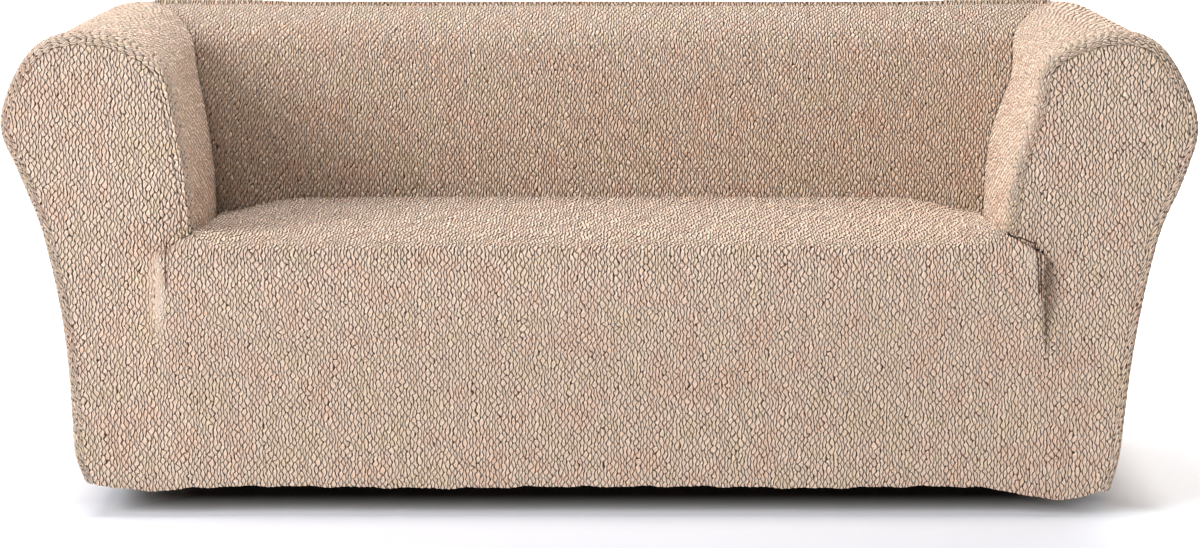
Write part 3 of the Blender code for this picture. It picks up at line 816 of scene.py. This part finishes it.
def liftByFolds(lay, folds):
    # how far low folds lift or sink each point, long and soft-ended
    s, t = lay[..., 0], lay[..., 1]
    lift = np.zeros(s.shape)
    for fromS, fromT, toS, toT, width, height in folds:
        run = np.array([toS - fromS, toT - fromT])
        length = float(np.linalg.norm(run))
        run /= length
        along = ((s - fromS) * run[0] + (t - fromT) * run[1]) / length
        off = (s - fromS) * run[1] - (t - fromT) * run[0]
        ends = ease(along, *cover["foldStart"]) * (1 - ease(along, *cover["foldEnd"]))
        lift += height * ends * hump(off, 0.0, width)
    return lift


def closedSheet(name, outer, lay, share, tight):
    # a dense outer face, a coarse inner one under it and rims that join the two
    height, width = outer.shape[:2]
    stride = cover["innerStride"]
    rows, columns = (sorted({*range(0, count, stride), count - 1}) for count in (height, width))
    inner = (outer - cover["cloth"] * gridNormals(outer))[np.ix_(rows, columns)]
    face = np.arange(height * width).reshape(height, width)
    below = height * width + np.arange(len(rows) * len(columns)).reshape(len(rows), len(columns))
    quads = np.stack([face[:-1, :-1], face[:-1, 1:], face[1:, 1:], face[1:, :-1]], axis=2)
    under = np.stack([below[:-1, :-1], below[1:, :-1], below[1:, 1:], below[:-1, 1:]], axis=2)
    faces = quads.reshape(-1, 4).tolist() + under.reshape(-1, 4).tolist()
    for k, (a, b) in enumerate(zip(columns, columns[1:])):
        faces.append([*face[0, a : b + 1][::-1].tolist(), int(below[0, k]), int(below[0, k + 1])])
        faces.append([*face[-1, a : b + 1].tolist(), int(below[-1, k + 1]), int(below[-1, k])])
    for k, (a, b) in enumerate(zip(rows, rows[1:])):
        faces.append([*face[a : b + 1, 0].tolist(), int(below[k + 1, 0]), int(below[k, 0])])
        faces.append([*face[a : b + 1, -1][::-1].tolist(), int(below[k, -1]), int(below[k + 1, -1])])
    points = np.concatenate([outer.reshape(-1, 3), inner.reshape(-1, 3)])
    mesh = bpy.data.meshes.new(name)
    mesh.from_pydata(points.tolist(), [], faces)
    places = np.concatenate([lay.reshape(-1, 2), lay[np.ix_(rows, columns)].reshape(-1, 2)])
    corners = np.zeros(len(mesh.loops), np.int32)
    mesh.loops.foreach_get("vertex_index", corners)
    mesh.uv_layers.new(name="cloth").data.foreach_set("uv", places[corners].astype(np.float32).ravel())
    spare = np.zeros(below.size)
    for label, values in (("puffShare", share), ("tight", tight)):
        values = np.concatenate([values.ravel(), spare]).astype(np.float32)
        mesh.attributes.new(label, "FLOAT", "POINT").data.foreach_set("value", values)
    mesh.shade_smooth()
    mesh.set_sharp_from_angle(angle=math.radians(cover["sharpAngle"]))
    return mesh


def dressPanel(settings, rows, lay, relief):
    # rows of points to a finished piece: dense grid, settling, grooves, folds, sheet, relief
    name, mirrored = settings["name"], settings.get("mirrored")
    grid = refined(rows, settings["step"])
    if mirrored:
        grid = grid[:, ::-1] * (-1, 1, 1)
    places = lay(grid) * np.array(settings.get("finer", (1.0, 1.0)))
    edges = borderDistances(grid)
    outer = settled(grid)
    normals = gridNormals(outer)
    lift = liftByFolds(places, settings.get("folds", ()))
    share = np.ones(lift.shape)
    other = {"left": "right", "right": "left"} if mirrored else {}
    for border, (depth, above) in settings["grooves"].items():
        near = hump(edges[other.get(border, border)], 0.0, cover["grooveWidth"])
        near = near * ease(grid[..., 2], above - cover["grooveStart"], above + cover["grooveStart"])
        lift -= depth * near
        share *= 1 - near * min(1.0, depth / cover["grooveBare"])
    tight = np.zeros(lift.shape)
    for s, t, halfWidth, halfHeight, much in settings.get("smoothed", ()):
        spread = hump(places[..., 0], s, halfWidth)
        tight = np.maximum(tight, much * spread * hump(places[..., 1], t, halfHeight))
    outer = outer + normals * lift[..., None]
    outer = outer - np.array([0.0, cover["seatMiddle"], cover["hemBelow"]])
    mesh = closedSheet(name, outer, places, share * (1 - cover["smoothing"] * tight), tight)
    piece = bpy.data.objects.new(name, mesh)
    bpy.context.scene.collection.objects.link(piece)
    modifier = piece.modifiers.new("relief", "NODES")
    modifier.node_group = relief
    for item in relief.interface.items_tree:
        if item.in_out == "INPUT" and item.name in settings.get("relief", {}):
            modifier[item.identifier] = settings["relief"][item.name]
    seen = piece.evaluated_get(bpy.context.evaluated_depsgraph_get())
    plain = bpy.data.meshes.new_from_object(seen)
    piece.modifiers.clear()
    piece.data = plain
    bpy.data.meshes.remove(mesh)
    plain.name = name
    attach(piece, "root")
    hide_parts(settings["node"])
    across, down = np.diff(grid, axis=1)[:-1], np.diff(grid, axis=0)[:, :-1]
    area = float(np.linalg.norm(np.cross(across, down), axis=2).sum())
    fitted = [float(np.mean(edges["left"][:, -1])), float(np.mean(edges["last"][0]))]
    cut = [round(cover["cut"] * length, 3) for length in fitted]
    area = min(cover["cutArea"] * area, cut[0] * cut[1])
    print(name, "points", len(plain.vertices), "flat", cut, "area", round(area, 3))


# How the knit's pattern runs over the panels: slower away from the front (share of the true length,
# and how soon), and where it starts on the rear panel
laid = {"seatShare": 0.36, "armShare": 0.30, "soon": 0.05, "rearStart": 3.0}


def drawnOut(run, share):
    # true to size at the start of the run, where it meets the front, and drawn out further in
    soon = laid["soon"]
    return share * run + (1 - share) * soon * (1 - np.exp(-run / soon))


def layFlat(grid):
    return grid[..., (0, 2)].copy()


def layRear(grid):
    return grid[..., (0, 2)] - (0.0, laid["rearStart"])


def layAlong(grid):
    edges = borderDistances(grid)
    across = edges["left"] - edges["left"][:, [grid.shape[1] // 2]]
    return np.stack([across, -edges["first"]], axis=2)


def layBehind(grid):
    # as layAlong, but on from the front panel and drawn out
    along = layAlong(grid)
    along[..., 1] = seatSeamHeight(0.0) + drawnOut(-along[..., 1], laid["seatShare"])
    return along


def layFromFront(grid):
    edges = borderDistances(grid)
    near = "right" if grid[0, -1, 1] < grid[0, 0, 1] else "left"
    return np.stack([drawnOut(edges[near], laid["armShare"]), -edges["first"]], axis=2)


jersey = bubbleJersey()
relief = reliefTree(jersey)
print("knit and relief ready", round(time.time() - started, 1), "s")

# Each panel: spacing of its points, grooves along its seams (depth, height above which they show),
# folds (from s, t to s, t, width, height) and smoothed patches (s, t, half sizes, share)
seatPanel = {
    "name": "seatCloth", "node": "seat_panel", "step": 0.0032,
    "grooves": {},
    "relief": {"Relief": 0.0017},
}
frontPanel = {
    "name": "frontCloth", "node": "front_panel", "step": 0.0031,
    "grooves": {"right": (0.0018, 0.28)},
    "folds": (
        (-0.668, 0.380, -0.664, 0.322, 0.0024, -0.0034),
        (-0.660, 0.350, -0.628, 0.262, 0.0045, 0.0010),
        (-0.646, 0.350, -0.600, 0.250, 0.0045, 0.0010),
        (-0.672, 0.320, -0.650, 0.220, 0.0045, 0.0010),
        (0.673, 0.382, 0.678, 0.300, 0.0028, -0.0034),
        (0.663, 0.350, 0.640, 0.262, 0.0045, 0.0010),
        (0.652, 0.350, 0.610, 0.250, 0.0045, 0.0010),
        (0.674, 0.320, 0.655, 0.220, 0.0045, 0.0010),
    ),
    "smoothed": ((-0.681, 0.305, 0.0095, 0.050, 1.0), (0.662, 0.366, 0.007, 0.018, 0.8)),
}
armFronts = {
    "left": {
        "name": "leftArmFrontCloth", "node": "arm_front_left", "step": 0.0029, "mirrored": True,
        "grooves": {"left": (0.0003, 0.42), "right": (0.0003, 0.0), "last": (0.0003, 0.0)},
        "smoothed": ((-0.692, 0.305, 0.0050, 0.050, 0.8),),
        "folds": (
            (-0.634, 0.413, -0.692, 0.392, 0.0028, 0.0018),
            (-0.637, 0.422, -0.700, 0.399, 0.0028, 0.0016),
            (-0.640, 0.431, -0.704, 0.408, 0.0028, 0.0012),
        ),
    },
    "right": {
        "name": "rightArmFrontCloth", "node": "arm_front_right", "step": 0.0029,
        "grooves": {"left": (0.0011, 0.42), "right": (0.0011, 0.0), "last": (0.0011, 0.0)},
    },
}
arms = {
    "left": {
        "name": "leftArmCloth", "node": "arm_left", "step": 0.0037, "mirrored": True,
        "relief": {"Relief": 0.0013},
        "grooves": {"left": (0.0010, 0.0), "right": (0.0003, 0.42)},
    },
    "right": {
        "name": "rightArmCloth", "node": "arm_right", "step": 0.0037,
        "relief": {"Relief": 0.0013},
        "grooves": {"left": (0.0010, 0.0), "right": (0.0011, 0.42)},
    },
}
insideBack = {
    "name": "insideBackCloth", "node": "inside_back", "step": 0.0037,
    "grooves": {"last": (0.0012, 0.0), "left": (0.0006, 0.0), "right": (0.0006, 0.0)},
    "finer": (1.10, 0.95),
}
outsideBack = {
    "name": "outsideBackCloth", "node": "outside_back", "step": 0.0050,
    "grooves": {"last": (0.0012, 0.0), "left": (0.0012, 0.0), "right": (0.0012, 0.0)},
}
dressPanel(seatPanel, seatRows(), layBehind, relief)
dressPanel(frontPanel, frontRows(), layFlat, relief)
for sign, side in ((-1, "left"), (1, "right")):
    dressPanel(armFronts[side], armFrontRows(sign), layFlat, relief)
    dressPanel(arms[side], armRows(sign), layFromFront, relief)
dressPanel(insideBack, insideBackRows(), layAlong, relief)
dressPanel(outsideBack, outsideBackRows(), layRear, relief)
bpy.data.node_groups.remove(relief)
print("panels dressed", round(time.time() - started, 1), "s")


# Ground, light and camera
studio = {
    "ground": "#f2f3f7",
    "under": "#3a3634",  # painted shadow: the ground below the cover is coloured almost black, where little light would come
    "paperRoughness": 0.9,
    "paperSpecular": 0.1,
    "groundHalf": 60.0,
    "sweepStart": 14.5,
    "sweepRadius": 3.0,
    "sweepPoints": 25,
    "backdropHeight": 24.0,
    "backdropHalf": 24.0,
    "coverHalf": 0.76,  # the cover's own outline on the ground: half width, front, rear
    "coverFront": -0.09,
    "coverRear": 0.40,
    "paintedShadowInset": 0.12,
    "paintedShadowEdge": (0.0, 0.15),
    "glow": 1.5,  # the backdrop's own light, faded in behind the cover
    "glowFrom": (0.9, 2.6),
    "near": 0.20,  # the ground's own light round the cover
    "nearFrom": (0.0, 0.17),
    "nearUntil": (0.45, 0.9),
    # the ground's own light is stronger on the right, where it lightens the cover's cast shadow
    "nearRight": 0.55,
    "rightFrom": (0.70, 0.95),
    "world": 0.045,
    "worldColour": "#fff0dc",
    "keyColour": "#f8faff",
    "fillColour": "#f4f7ff",
    "lights": {  # place, size, watts
        "key": ((-4.5, -4.6, 3.1), 3.2, 380.0),
        "above": ((-1.8, -1.0, 4.8), 2.4, 112.0),
        "right": ((3.2, -4.2, 1.8), 2.0, 27.0),
        "behind": ((-0.3, 1.8, 3.2), 2.0, 105.0),
    },
    "aim": (0.0, 0.0, -0.05),
    "cameraPlace": (0.0, -5.47, 0.737),
    "cameraPitch": 8.64,
    "sensor": 36,
    "lens": 3407 / 1200 * 36,  # 3407 pixels in a frame 1200 wide
}


def studioPaper():
    # Coated paper, rolled matte: almost white, with no highlight and nothing mirrored. Below the cover it
    # is coloured almost black as a painted shadow, and it glows with its own light behind and round the
    # cover.
    paper = bpy.data.materials.new("studio_paper_matte")
    paper.use_nodes = True
    tree = paper.node_tree
    add = partial(addNode, tree)
    shader = tree.nodes["Principled BSDF"]
    shader.inputs["Roughness"].default_value = studio["paperRoughness"]
    shader.inputs["Specular IOR Level"].default_value = studio["paperSpecular"]
    spot = add("ShaderNodeTexCoord").outputs["Object"]
    parts = add("ShaderNodeSeparateXYZ", {0: spot}).outputs

    # how far a spot is outside the cover's sides, front and rear
    beside = add("ShaderNodeMath", {0: parts[0]}, operation="ABSOLUTE")
    beside, before, behind = (
        add("ShaderNodeMath", {0: place, 1: less}, operation="SUBTRACT")
        for place, less in ((beside, studio["coverHalf"]), (studio["coverFront"], parts[1]),
                            (parts[1], studio["coverRear"]))
    )
    away = add("ShaderNodeMath", {0: beside, 1: before}, operation="MAXIMUM")
    outside = add("ShaderNodeMath", {0: beside, 1: studio["paintedShadowInset"]}, operation="ADD")
    for other in (before, behind):
        outside = add("ShaderNodeMath", {0: outside, 1: other}, operation="MAXIMUM")

    masks = []
    for place, (start, end), first, second in (
        (parts[1], studio["glowFrom"], 0.0, studio["glow"]),
        (away, studio["nearFrom"], 0.0, studio["near"]),
        (away, studio["nearUntil"], 1.0, 0.0),
        (parts[0], studio["rightFrom"], 1.0, studio["nearRight"] / studio["near"]),
        (outside, studio["paintedShadowEdge"], 0.0, 1.0),
    ):
        masks.append(add("ShaderNodeMapRange", {0: place, 1: start, 2: end, 3: first, 4: second},
                         interpolation_type="SMOOTHSTEP"))
    glow, near, until, toRight, lit = masks
    near = add("ShaderNodeMath", {0: near, 1: toRight}, operation="MULTIPLY")
    glow = add("ShaderNodeMath", {0: near, 1: until, 2: glow}, operation="MULTIPLY_ADD")
    # painted shadow: the ground's colour turns almost black below the cover
    shade = add("ShaderNodeMix", {0: lit, 6: linear(studio["under"]), 7: linear(studio["ground"])},
                data_type="RGBA")
    tree.links.new(shade.outputs[2], shader.inputs["Base Color"])
    shader.inputs["Emission Color"].default_value = (1, 1, 1, 1)
    tree.links.new(glow.outputs[0], shader.inputs["Emission Strength"])
    return paper


def makeStage():
    # the ground, swept up into a backdrop far behind
    low = -(cover["hemBelow"] + cover["groundBelow"])
    radius = studio["sweepRadius"]
    line = [(studio["sweepStart"] + radius * math.sin(a), low + radius * (1 - math.cos(a)))
            for a in np.linspace(0, math.pi / 2, studio["sweepPoints"])]
    line.append((line[-1][0], studio["backdropHeight"]))
    line = [(side * studio["backdropHalf"], y, z) for y, z in line for side in (-1, 1)]
    far = studio["groundHalf"]
    points = [(-far, -far, low), (far, -far, low)] + line
    mesh = bpy.data.meshes.new("studioFloor")
    mesh.from_pydata(points, [], [(i, i + 1, i + 3, i + 2) for i in range(0, len(line), 2)])
    mesh.shade_smooth()
    mesh.materials.append(studioPaper())
    ground = bpy.data.objects.new("studioFloor", mesh)
    bpy.context.scene.collection.objects.link(ground)


def makeLight(name, place, size, watts):
    light = bpy.data.lights.new(name, "AREA")
    light.color = linear(studio["keyColour" if name == "key" else "fillColour"])[:3]
    light.shape = "DISK"
    light.size = size
    light.energy = watts
    lamp = bpy.data.objects.new(name, light)
    lamp.location = place
    lamp.visible_camera = False
    aim = np.array(studio["aim"]) - np.array(place)
    tilt = math.atan2(math.hypot(aim[0], aim[1]), -aim[2])
    lamp.rotation_euler = (tilt, 0, math.atan2(aim[0], -aim[1]) + math.pi)
    bpy.context.scene.collection.objects.link(lamp)


def makeCamera():
    data = bpy.data.cameras.new("camera")
    data.sensor_width = studio["sensor"]
    data.lens = studio["lens"]
    camera = bpy.data.objects.new("camera", data)
    camera.location = studio["cameraPlace"]
    camera.rotation_euler = (math.radians(90 - studio["cameraPitch"]), 0, 0)
    bpy.context.scene.collection.objects.link(camera)
    bpy.context.scene.camera = camera


makeStage()
for name, settings in studio["lights"].items():
    makeLight(name, *settings)
makeCamera()
world = bpy.data.worlds.new("studio")
bpy.context.scene.world = world
world.use_nodes = True
background = world.node_tree.nodes["Background"]
background.inputs[0].default_value = linear(studio["worldColour"])
background.inputs[1].default_value = studio["world"]
bpy.context.scene.view_settings.view_transform = "Standard"

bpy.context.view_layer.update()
print("stage set", round(time.time() - started, 1), "s")
